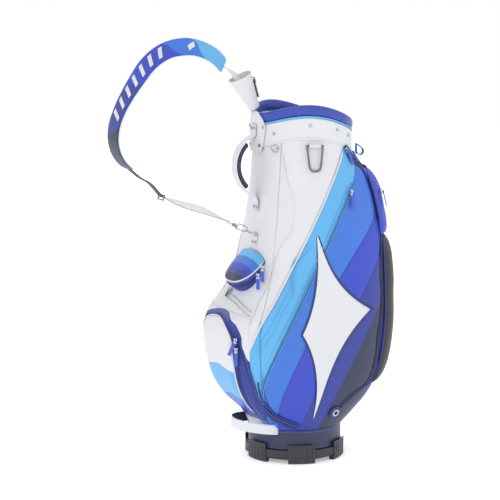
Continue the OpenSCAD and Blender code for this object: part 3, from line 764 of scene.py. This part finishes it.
def side_trim(side, tag):
    """The trim of one side of the bag."""
    def lay(name, points, width, lift, finish, kind="bead", steps=140):
        at, out = skin_route(points, lift, side=side)
        if kind == "bead":
            bm = bead(at, out, width, steps)
        else:
            bm = ribbon(at, out, width, 0.0006, steps)
            centre_map(bm, width)
        return settle(bm, f"{name}_{tag}", finish, "bag",
                      thick=0.001 if kind == "ribbon" else 0.0)

    white_edge = [(SEAMS[0](z), z) for z in (812, 768, 700, 617, 540, 459, 400, 354, 318)]
    lay("white_piping", white_edge, 0.0024, 0.0012, "white")
    lay("strip_seam", STRIP_LINE, 0.0013, 0.0012, "white")
    zip_points = [(SEAMS[1](z), z) for z in (728, 690, 640, 590, 535, 481, 430, 380, 330, 280, 235,
                                             195, 165)]
    lay("panel_zip_tape", zip_points, 0.011, 0.0008, "zip_cyan", "ribbon")
    beside = [(t - 2.6 - 0.004 * (z - 165), z) for t, z in zip_points]
    lay("panel_zip_edge", beside, 0.0012, 0.0012, "cyan")
    lay("garment_zip_tape", GARMENT_ZIP, 0.014, 0.0012, "zip_navy", "ribbon")
    lay("garment_piping", [(t + 4.5, z + 6) for t, z in GARMENT_ZIP], 0.0024, 0.0008, "outline")
    lay("ball_band", BAND_LINE[3:], 0.02, 0.0024, "zip_royal", "ribbon")
    lay("ball_band_piping", [(t + 5, z + 8) for t, z in BAND_LINE[5:]], 0.0024, 0.0018, "outline")
    ridge = [(74, 590), (60, 540), (58, 500), (58, 470), (52, 430), (45, 370), (38, 320), (33, 285)]
    lay("relief_upper", ridge, 0.0016, 0.0002, "cyan")
    lay("relief_lower", [(t + 2.4, z - 9) for t, z in ridge], 0.0016, 0.0002, "cyan")


side_trim(1, "near")
side_trim(-1, "far")

slit = [(-14, 434), (-3, 432), (10, 427), (22, 419), (32, 410)]
for offset, row in ((0, "upper"), (-9, "lower")):
    at, out = skin_route([(t, z + offset) for t, z in slit], 0.0012)
    settle(bead(at, out, 0.0016, 60), f"slit_zip_{row}", "zip_white", "bag")
print("piping and zips on both sides")

# %% [markdown]
# Each side carries a large sewn badge. Here it is a plain tall kite with hollow sides, white
# with a dark edge, cut from leather and laid on the skin as two thin layers.

# %% The badge on each side
def badge(side, tag, grow, lift, finish):
    """A slender four-pointed kite laid on the side panel."""
    foot, head = 122.0, 604.0

    def place(u, v):
        z = foot + (head - foot) * v
        middle = 84 + 6 * sin(pi * v) - 4 * v
        pinch = (1 - abs(2 * v - 1.06) / 1.06) if v < 0.53 else (1 - (v - 0.53) / 0.47)
        half = 24 * max(pinch, 0.0) ** 2.6 + 6.0 * max(pinch, 0.0) ** 0.7
        half += grow * (0.4 + 0.6 * max(pinch, 0.0))
        wing = 1 + 0.35 * (2 * u - 1)
        t = middle + (2 * u - 1) * half * wing
        rise = lift * min(1.0, 6 * min(v, 1 - v) + 0.25)
        slide = (2 * u - 1) * 26 * max(pinch, 0.0)
        return on_skin(side * t, (z + slide) / 1000, rise)

    bm = loft(36, 150, place, (0.2, 0.5), toward=lambda _: Vector((0, -side, 0)))
    return settle(bm, f"badge_{finish}_{tag}", finish, "bag", thick=0.0012)


for side, tag in ((1, "near"), (-1, "far")):
    badge(side, tag, 2.6, 0.0022, "outline")
    badge(side, tag, 0.0, 0.0032, "white")
print("badges on both sides")

# %% [markdown]
# The collar is a wide white leather band with a padded blue rim above it. Both dip at the
# front and rear and rise at the sides, so each is a closed ring that follows one wavy line.

# %% Collar, rim pad and piping
def wave_ring(outline, around=180, size=(0.82, 0.09), rough=0.0):
    """A closed ring round the collar. outline(v) gives (radius, drop below the rim)."""
    def place(u, v):
        t = 360 * u
        r, drop = outline(v)
        point = polar(r, t, rim_top(t) - drop)
        if rough:
            out = Vector((-cos(radians(t)), -sin(radians(t)), 0))
            point += out * ripple(point, 0.03, rough)
        return point
    bm = loft(around, 40, place, size, wrap=True)
    bmesh.ops.recalc_face_normals(bm, faces=bm.faces)
    return bm


def rounded(middle_r, middle_drop, half_r, half_drop, power=0.7):
    """A rounded oblong outline, running up its outer side first."""
    def at(v):
        a = 2 * pi * v
        c, s = cos(a), sin(a)
        return middle_r + half_r * squared(c, power), middle_drop - half_drop * squared(s, power)
    return at


collar = wave_ring(rounded(0.1245, 0.0603, 0.0068, 0.0277, 0.22), size=(0.82, 0.12))
flat = collar.loops.layers.uv["map"]
for face in collar.faces:
    for loop in face.loops:
        spot = loop.vert.co
        t = degrees(atan2(-spot.y, LEAN * spot.z - spot.x))
        loop[flat].uv = ((t % 360) * 0.00228, spot.z - rim_top(t) + COLLAR_H)
settle(collar, "collar_band", "white_sewn", "bag", ("collar",))
settle(wave_ring(rounded(0.1242, 0.0136, 0.0074, 0.0138, 0.8), rough=0.0009), "rim_cushion",
       "rim", "bag", ("rim_pad",))
settle(wave_ring(rounded(0.1296, 0.0296, 0.0029, 0.0026, 0.9)), "rim_cord", "cyan",
       "bag", ("rim_piping",))
print("collar and rim")

# %% [markdown]
# Inside the rim a padded grid keeps the clubs apart: a ring and three bars, each a strip of
# foam in cloth. A bar is a cube stretched to length and bevelled until its edges are soft.

# %% The padded divider
def leaning(bm, height=0.0):
    """Leans a bmesh with the club tube."""
    bmesh.ops.transform(bm, verts=bm.verts, matrix=Matrix.Rotation(radians(1.2), 4, "Y")
                        @ Matrix.Translation((0, 0, height)))
    return bm


def soft_bar(length, width, height, place, turn=0.0, round_by=0.0035):
    """A bar of foam in cloth."""
    bm = bmesh.new()
    bmesh.ops.create_cube(bm, size=1.0)
    bmesh.ops.scale(bm, vec=(length, width, height), verts=bm.verts)
    bmesh.ops.bevel(bm, geom=bm.edges[:], offset=round_by, segments=3, affect="EDGES",
                    profile=0.5, material=-1)
    bmesh.ops.transform(bm, verts=bm.verts,
                        matrix=Matrix.Translation(place) @ Matrix.Rotation(turn, 4, "Z"))
    bm.loops.layers.uv.new("map")
    return bm


def oblong_ring(r, z, half_r, half_z, power=0.7, around=120):
    """A plain closed ring with a rounded section."""
    section = rounded(r, z, half_r, -half_z, power)

    def place(u, v):
        reach, height = section(v)
        return Vector((reach * cos(2 * pi * u), reach * sin(2 * pi * u), height))
    bm = loft(around, 24, place, (2 * pi * r, 4 * half_z), wrap=True)
    bmesh.ops.recalc_face_normals(bm, faces=bm.faces)
    return bm


reach = 0.2225
parts = [oblong_ring(0.1108, 0.0, 0.0026, 0.009), soft_bar(reach, 0.008, 0.018, (0, 0, 0))]
for x in (-0.038, 0.038):
    for y in (-0.055, 0.055):
        parts.append(soft_bar(0.094, 0.008, 0.018, (x, y * 0.97, 0), pi / 2))
settle(leaning(join(parts), 0.835), "divider_padding", "inside", "bag",
       ("divider_top",))
print("divider padding")

# %% [markdown]
# The ball pocket is a deep box with round corners over the lower front. Its royal gusset
# carries a zip all the way round a striped door, and both are lofted over one set of ovals.

# %% Ball pocket and its door
ball_reach = smooth_table([(112, 128), (127, 136), (162, 172), (206, 203), (262, 223), (316, 234),
                           (356, 236), (385, 230), (402, 212)])
ball_side = smooth_table([(112, 80), (162, 94), (206, 100), (262, 103), (316, 104), (356, 103),
                          (385, 98), (402, 88)])


def ball_skin(t, z):
    """Radius of the ball pocket's outside."""
    box = oval(t, ball_reach(z) / 1000, ball_side(z) / 1000, 8)
    return max(skin(t, z) + 0.003, box)


def door_skin(t, z):
    """Radius of the door, a little proud of the pocket."""
    return ball_skin(t, z) + 0.0026


def ball_place(u, v):
    t, z = -33 + 66 * u, 0.112 + 0.29 * v
    edge = min(u, 1 - u, v, 1 - v)
    tuck = 0.003 * max(0.0, 1 - edge / 0.05) ** 2
    point = polar(ball_skin(t, z) - tuck, t, z)
    out = Vector((-cos(radians(t)), -sin(radians(t)), 0))
    return point + out * ripple(point, 0.05, 0.0008)


def ball_band(u, v):
    """Royal near the door, white beyond it."""
    t, z = abs(-33 + 66 * u), 0.112 + 0.29 * v
    reach = 8.5 if z < 0.3 else 7.0
    top = 26.5 * max(0.0, 1 - max(0.0, (z - 0.318) / 0.084) ** 2.3) ** 0.5
    inside = min(20.9 + reach, top + 2.5) - t + 60 * max(0.0, 0.3 - z) * 4
    return float(np.clip(1 + 0.3 * inside, 0, 1.99))


settle(loft(150, 160, ball_place, (0.3, 0.32), ball_band), "ball_gusset", "gusset",
       "bag",
       ("ball_pocket",), thick=0.003)


def door_half(z):
    """Half width of the door in degrees, arched at its top."""
    top = max(0.0, (z - 0.318) / 0.069)
    low = max(0.0, (0.2 - z) / 0.075)
    return 20.4 * (1 - min(top, 0.999) ** 2.3) ** 0.5 * (1 - 0.12 * low ** 2) + 0.4


def door_stripe(u, v):
    z = 0.126 + 0.2595 * v
    t = (2 * u - 1) * door_half(z)
    fall = abs(t) * 0.0006
    return float(np.interp(z + fall, (0.12, 0.139, 0.181, 0.262, 0.39), (3.99, 3.0, 2.0, 1.0, 0.0)))


def door_place(u, v):
    z = 0.126 + 0.2595 * v
    t = (2 * u - 1) * door_half(z)
    edge = min(u, 1 - u, v, 1 - v)
    crown = 0.0024 * min(1.0, edge / 0.12) ** 0.6
    point = polar(door_skin(t, z) + crown - 0.0018, t, z)
    out = Vector((-cos(radians(t)), -sin(radians(t)), 0))
    return point + out * ripple(point, 0.06, 0.0006)


settle(loft(60, 100, door_place, (0.16, 0.27), door_stripe), "ball_door_panel", "side",
       "bag", ("ball_door",), thick=0.0018)


ZIP_W = 0.009
DOOR_ARC = 0.0035


def door_path(margin, lift):
    """A path round the door, with its way out of the pocket."""
    heights = [0.128, 0.15, 0.18, 0.21, 0.24, 0.27, 0.3, 0.325, 0.345, 0.362, 0.374, 0.381, 0.3855]
    flat = [(-door_half(z) - margin, z) for z in heights] + [(0, 0.3865 + margin * 0.0022)]
    flat += [(door_half(z) + margin, z) for z in reversed(heights)]
    walk = route([(t * DOOR_ARC, z, 0) for t, z in flat])

    def at(s):
        spot = walk(s)
        t, z = spot.x / DOOR_ARC, spot.y
        return polar(ball_skin(t, z) + lift, t, z)

    def out(s):
        spot = walk(s)
        t = spot.x / DOOR_ARC
        return skin_normal(t, spot.y, ball_skin)
    return at, out


at, out = door_path(0.5, 0.0022)
settle(bead(at, out, 0.0019, 200), "door_piping", "white", "bag")
at, out = door_path(2.6, 0.0012)
tape = ribbon(at, out, ZIP_W, 0.0008, 200)
centre_map(tape, ZIP_W)
settle(tape, "door_zip_tape", "zip_royal", "bag", thick=0.0008)
print("ball pocket and door")

# %% [markdown]
# The valuables pouch is a small wedge with a domed lid. Its round outline is written once;
# the lid fills it, a white piping runs along it and the gusset drops from it to the bag.

# %% Valuables pouch
def lid_point(y, v, rise=0.0):
    """A point on the lid. y runs across it and v from its back to its round tip."""
    side = y / 0.078
    dome = 0.017 * side ** 2 * (1 - 0.25 * v) - 0.004 * sin(pi * v) * (1 - side ** 2)
    return Vector((-0.124 - 0.064 * v - 0.6 * rise, y, 0.551 - 0.076 * v - dome + 0.8 * rise))


def lid_edge(s):
    """The outline of the lid, from one back corner round the tip to the other."""
    a = pi * (s - 0.5)
    y = 0.0775 * squared(sin(a), 0.85)
    return lid_point(y, abs(cos(a)) ** 0.8)


def lid_place(u, v):
    v = 0.998 * v
    half = 0.0765 * (1 - v ** 2.5) ** 0.425
    edge = min(u, 1 - u, 1 - v)
    puff = 0.005 * min(1.0, edge / 0.18) ** 0.5
    point = lid_point((2 * u - 1) * half, v, puff - 0.001)
    return point + Vector((-0.6, 0, 0.8)) * ripple(point, 0.035, 0.0008)


def lid_stripe(u, v):
    side = abs(2 * u - 1)
    return float(np.interp(v + 0.05 * side, (-0.1, 0.27, 0.5, 0.8, 1.1),
                           (1.01, 2.0, 3.0, 5.0, 5.9)))


def gusset_place(u, v):
    top = lid_edge(u)
    drop = Vector((0.031, 0, -0.033)) * v
    inward = Vector((0, -top.y, 0)) * 0.1 * v
    bulge = Vector((-0.4, top.y * 8, -0.1)).normalized() * 0.004 * sin(pi * min(1.0, v * 1.2))
    return top + drop + inward + bulge


def away_from_pouch(middle):
    return middle - Vector((-0.12, 0, 0.5))


settle(loft(56, 48, lid_place, (0.15, 0.1), lid_stripe, toward=lambda _: Vector((-0.6, 0, 0.8))),
       "pouch_lid_panel", "side", "bag", ("pouch_lid",), thick=0.002)
settle(loft(90, 16, gusset_place, (0.3, 0.045), toward=away_from_pouch), "pouch_gusset", "deep",
       "bag", ("valuables_pouch",), thick=0.002)
edge_out = lambda s: Vector((-0.6, 0, 0.8))
settle(bead(lid_edge, edge_out, 0.0021, 120), "pouch_piping", "white", "bag")


def zip_place(u, v):
    s = 0.04 + 0.92 * u
    middle = gusset_place(s, 0.26 + 0.2 * v)
    away = away_from_pouch(middle)
    away.z = 0
    return middle + away.normalized() * 0.0016


zip_bm = loft(120, 6, zip_place, (0.28, ZIP_W), toward=away_from_pouch)
centre_map(zip_bm, ZIP_W)
settle(zip_bm, "pouch_zip_tape", "zip_royal", "bag")
print("valuables pouch")

# %% [markdown]
# Two full pockets stand out on the rear. Each is a pad whose leather pulls in to its zip all
# round, so its face is highest in the middle and rolls over to the edges.

# %% Rear pockets
def rear_pocket(name, finish, node, t0, t1, z0, z1, proud, rows=90):
    """A full pocket on the rear of the bag."""
    def place(u, v):
        t, z = t0 + (t1 - t0) * u, (z0 + (z1 - z0) * v) / 1000
        a, b = 2 * u - 1, 2 * v - 1
        full = sqrt(max(0, 1 - abs(a) ** 4)) * sqrt(max(0, 1 - abs(b) ** 4))
        point = polar(skin(t, z) + 0.0028 + proud * full / 1000, t, z)
        out = skin_normal(t, z)
        return point + out * (ripple(point, 0.07, 0.0016) + ripple(point, 0.022, 0.0004)) * full
    bm = loft(70, rows, place, (0.35, (z1 - z0) / 1000))
    return settle(bm, name, finish, "bag", (node,), thick=0.002)


rear_pocket("rear_lower_pad", "black", "rear_lower_pocket", 142, 218, 200, 584, 22)
rear_pocket("rear_upper_pad", "royal", "rear_upper_pocket", 141, 219, 592, 762, 15,
            60)


REAR_ARC = 0.0036


def rear_loop_path(t0, t1, z0, z1, lift):
    """A rounded path round the side of a rear pocket."""
    corners = [(t0, z0 + 26), (t0, (z0 + z1) / 2), (t0, z1 - 26), (t0 + 8, z1), (180, z1 + 2),
               (t1 - 8, z1), (t1, z1 - 26), (t1, (z0 + z1) / 2), (t1, z0 + 26), (t1 - 8, z0),
               (180, z0 - 2), (t0 + 8, z0)]
    walk = route([(t * REAR_ARC, z / 1000, 0) for t, z in corners], closed=True)

    def at(s):
        spot = walk(s)
        return on_skin(spot.x / REAR_ARC, spot.y, lift)

    def out(s):
        spot = walk(s)
        return skin_normal(spot.x / REAR_ARC, spot.y)
    return at, out


for name, spans, finish in (("rear_lower", (142.6, 217.4, 204, 580), "outline"),
                            ("rear_upper", (141.6, 218.4, 596, 758), "zip_navy")):
    at, out = rear_loop_path(*spans, 0.004)
    settle(bead(at, out, 0.0026, 240), f"{name}_cord", finish, "bag")
print("rear pockets")

# %% [markdown]
# The handle is a white strap in an arc with a padded navy grip inside it. Both follow one
# route; a closed, rounded section carried along it gives a bar that is soft at its edges.

# %% Carry handle
def bar_along(at, out, half_w, half_t, power=0.6, steps=80, around=20, taper=0.0):
    """A soft bar with a rounded oblong section along a path, closed at its ends."""
    length = path_length(at)

    def place(u, v):
        facing = out(u).normalized()
        side = facing.cross(tangent(at, u)).normalized()
        a = 2 * pi * v
        c, s = cos(a), sin(a)
        grow = 1.0
        if taper:
            end = min(u, 1 - u) * length / taper
            grow = sqrt(max(0.02, 1 - (1 - min(end, 1.0)) ** 2))
        point = at(u)
        across = side * half_w * grow * squared(c, power)
        thick = facing * half_t * grow * squared(s, power)
        return point + across + thick
    bm = loft(steps, around, place, (length, 4 * half_w), wrap=True)
    return close_ends(bm)


def side_route(points):
    """A smooth path in the plane of the bag's front, through (x, z) points in mm."""
    return route([(x / 1000, 0, z / 1000) for x, z in points])


arc = [(-90 + 84 * cos(radians(a)), 772 + 84 * sin(radians(a))) for a in range(248, 111, -8)]
grip_arc = [(-90 + 74.5 * cos(radians(a)), 772 + 74.5 * sin(radians(a)))
            for a in range(230, 129, -10)]
handle_at = side_route([(-112.8, 657), (-112.9, 673), (-114.4, 681)] + arc
                       + [(-120.3, 860), (-120.1, 877)])


def from_centre(at):
    return lambda s: (at(s) - Vector((-0.09, 0, 0.772))).normalized()


strap_bm = bar_along(handle_at, from_centre(handle_at), 0.015, 0.0019, 0.25, 110)
settle(strap_bm, "handle_band", "white", "bag", ("handle_strap",))
grip_at = side_route(grip_arc)
settle(bar_along(grip_at, from_centre(grip_at), 0.0132, 0.0066, 0.7, 60, 24, taper=0.008),
       "handle_grip", "navy", "bag", ("handle_pad",))
print("carry handle")

# %% [markdown]
# At the foot of the bag a navy leather band covers the join with the moulded base, and a
# loop of webbing stands out in front of it. A smaller loop hangs at the top of the rear.

# %% Base band and webbing loops
band = oblong_ring(0.1204, 0.062, 0.0018, 0.0258, 0.2, 180)
flat = band.loops.layers.uv["map"]
for face in band.faces:
    for loop in face.loops:
        spot = loop.vert.co
        loop[flat].uv = (atan2(spot.y, spot.x) * 0.122, spot.z - 0.036)
settle(band, "base_band_leather", "navy", "bag", ("base_band",))
settle(oblong_ring(0.1216, 0.0865, 0.0015, 0.0022, 1.0, 180), "base_band_binding", "outline",
       "bag")


def loop_path(radius, reach=92):
    tilt = Matrix.Rotation(radians(6), 3, "Y")

    def at(s):
        a = radians(180 - reach + 2 * reach * s)
        return Vector((-0.092, 0, 0.076)) + tilt @ Vector((radius * cos(a), radius * sin(a), 0.013))
    return at, lambda s: (at(s) - Vector((-0.092, 0, 0.0885))).normalized()


at, out = loop_path(0.0858)
settle(ribbon(at, out, 0.026, 0.0, 90), "base_loop_outer", "white_web", "bag",
       ("base_loop",), thick=0.0014)
at, out = loop_path(0.0842)
settle(ribbon(at, lambda s: -out(s), 0.0256, 0.0, 90), "base_loop_inner", "navy_web",
       "bag", thick=0.0008)

spot = polar(0.1315, 165, 0.806)
away = Vector((-cos(radians(165)), -sin(radians(165)), 0))
tear = route([spot + away * x / 1000 + Vector((0, 0, z / 1000)) for x, z in (
    (14.5, 14), (14, 2), (15.5, -10), (24, -15.8), (33, -10.5), (33.6, 0), (26, 8), (17.5, 15))],
    closed=True)
heart = spot + away * 0.024 + Vector((0, 0, -0.005))
settle(ribbon(tear, lambda s: tear(s) - heart, 0.022, 0.0, 80), "rear_loop_webbing", "cyan_web",
       "bag", ("rear_loop",), thick=0.0018)
print("base band and loops")

# %% [markdown]
# The shoulder strap springs from a leather sleeve at the rim, arches up and over, and comes
# back to the front of the bag. Its pad is a long flat cushion that twists as it goes.

# %% Shoulder strap
PAD_ROUTE = [(-203, 1028, 50), (-226, 1051, 50), (-254, 1067, 48), (-284, 1076, 46),
             (-313, 1078, 44), (-350, 1072, 38), (-382, 1057, 32), (-411, 1033, 27),
             (-436, 1001, 22), (-460, 966, 16), (-483, 926, 11), (-498, 888, 8), (-502, 852, 6),
             (-496, 822, 5), (-482, 797, 4), (-462, 778, 3)]
pad_walk = route([(x / 1000, z / 1000, twist / 1000) for x, z, twist in PAD_ROUTE])


def pad_at(s):
    spot = pad_walk(s)
    return Vector((spot.x, 0, spot.y))


def pad_frame(s):
    """Directions across and out of the pad."""
    twist = radians(pad_walk(s).z * 1000)
    along = tangent(pad_at, s)
    lift = Vector((along.z, 0, -along.x))
    across = Vector((0, -1, 0)) * cos(twist) - lift * sin(twist)
    facing = lift * cos(twist) + Vector((0, -1, 0)) * sin(twist)
    return across, facing


pad_length = path_length(pad_at)
OUTER = -1.0 if pad_frame(0.5)[1].x > 0 else 1.0


def pad_point(s, c, h):
    """A point at c across the pad, from -1 to 1, and h out of its face."""
    across, facing = pad_frame(s)
    return pad_at(s) + across * c + facing * OUTER * h


def pad_stripe(u, v):
    a = 2 * pi * v
    if sin(a) < 0.25:
        return 0.5
    lean_over = cos(a) * 0.035
    return float(np.interp(u + lean_over, (0.0, 0.16, 0.3, 0.56, 0.8, 1.0),
                           (1.01, 2.0, 3.0, 4.0, 5.0, 5.9)))


def pad_place(u, v):
    a = 2 * pi * v
    c, s = cos(a), sin(a)
    end = min(1.0, min(u, 1 - u) * pad_length / 0.012)
    grow = 0.86 + 0.14 * sqrt(1 - (1 - end) ** 2)
    seam = 0.0007 * max(0.0, 1 - abs(abs(c) - 0.86) / 0.05) * (1 if s > 0 else 0)
    wide = 0.0298 * grow * squared(c, 0.45)
    high = (0.0044 * (0.35 + 0.65 * end) * abs(s) ** 0.6 - seam) * (1 if s > 0 else -1)
    point = pad_point(u, wide, high)
    return point + Vector((0, 0, 1)) * ripple(point, 0.04, 0.0005)


pad = loft(260, 48, pad_place, (pad_length, 0.13), pad_stripe, wrap=True)
close_ends(pad)
settle(pad, "shoulder_cushion", "side", "strap", ("shoulder_pad",))

bars = []
for middle in (0.2, 0.36, 0.42, 0.48, 0.54, 0.6, 0.66, 0.72):
    half = 0.011 if middle > 0.3 else 0.02

    def bar_place(u, v, middle=middle, half=half):
        c = 2 * v - 1
        s = middle + (2 * u - 1) * half * (1.0 if half < 0.015 else 1 - abs(c)) + 0.018 * c
        return pad_point(s, 0.017 * c, 0.0053)
    bars.append(loft(6, 12, bar_place, (0.02, 0.04), toward=lambda m: (
        pad_frame(0.5)[1] * OUTER)))
settle(join(bars), "pad_marks", "white", "strap", thick=0.0006)


def flat_strap(name, points, width, lift, finish, nodes=(), thick=0.0014, up=1,
               roll=0):
    """Flat webbing in the strap's plane."""
    at = side_route(points)

    def out(s):
        along = tangent(at, s)
        turn = radians(roll) * sin(pi * s)
        flat_out = Vector((-along.z, 0, along.x)).normalized() * up
        return flat_out * cos(turn) - Vector((0, 1, 0)) * sin(turn)

    def raised(s):
        return at(s) + out(s).normalized() * lift
    bm = ribbon(raised, out, width, 0.0, 70)
    return settle(bm, name, finish, "strap", nodes, thick=thick)


lower = [(-375, 703), (-330, 684), (-260, 661), (-192, 631)]
flat_strap("lower_web_white", lower, 0.030, 0.0022, "white_web",
           ("lower_webbing",), roll=32)
flat_strap("lower_web_navy", lower, 0.0296, 0.0006, "navy_web", roll=32)
flat_strap("pad_web_navy", [(-468, 783), (-436, 756), (-409, 740), (-388, 718), (-376, 703)],
           0.029, 0.0008, "navy_web", thick=0.0024)
flat_strap("upper_web", [(-130, 944), (-146, 972), (-166, 998), (-206, 1030)], 0.030, 0.0012,
           "white_web", ("upper_webbing",), thick=0.0026, up=-1, roll=40)

tilt = Matrix.Translation((-0.117, 0, 0.919)) @ Matrix.Rotation(radians(-26.3), 4, "Y")
sleeve_walk = route([(0.0138, 0, 0), (0.0178, 0, 0.022), (0.0245, 0, 0.058), (0.0306, 0, 0.089),
                     (0.0306, 0, 0.0918), (0.0294, 0, 0.0918), (0.0285, 0, 0.086),
                     (0.0228, 0, 0.056), (0.0165, 0, 0.024), (0.0128, 0, 0.005), (0.011, 0, 0.001),
                     (0.0124, 0, -0.0002)], closed=True)


def sleeve_place(u, v):
    spot = sleeve_walk(v)
    a = -2 * pi * u
    fold = 1 + 0.015 * sin(3 * a) * (spot.z / 0.09)
    return tilt @ Vector((spot.x * cos(a) * fold, spot.x * sin(a) * fold, spot.z))


sleeve = loft(72, 60, sleeve_place, (0.14, 0.19), wrap=True)
bmesh.ops.recalc_face_normals(sleeve, faces=sleeve.faces)
settle(sleeve, "strap_sleeve_leather", "white_sewn", "strap", ("strap_sleeve",))
print("shoulder strap, pad length", round(pad_length, 3))

# %% [markdown]
# Small leather tabs, the metalware, zip pulls and the moulded base keep their exact CAD
# shapes, because their size matters more than their softness. Each gets its own finish.

# %% Finishes for the pieces that keep their shape
KEEP = {
    "base_tub": "plastic", "base_feet": "plastic", "inner_tube": "tube", "divider_sheets": "sheet",
    "strap_tab": "white", "towel_tab": "white", "small_ring_tab": "white", "ring_tab": "white",
    "umbrella_tab": "outline", "towel_ring": "dark_steel", "sleeve_buckle": "dark_steel",
    "strap_adjuster": "dark_steel", "pull_slit": "dark_pull"}
for name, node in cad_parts.items():
    finish = KEEP.get(name, "pull" if name.startswith("pull_") else "steel")
    for place in node.material_slots:
        place.material = FINISH[finish]
print("finishes on", len(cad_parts), "nodes")
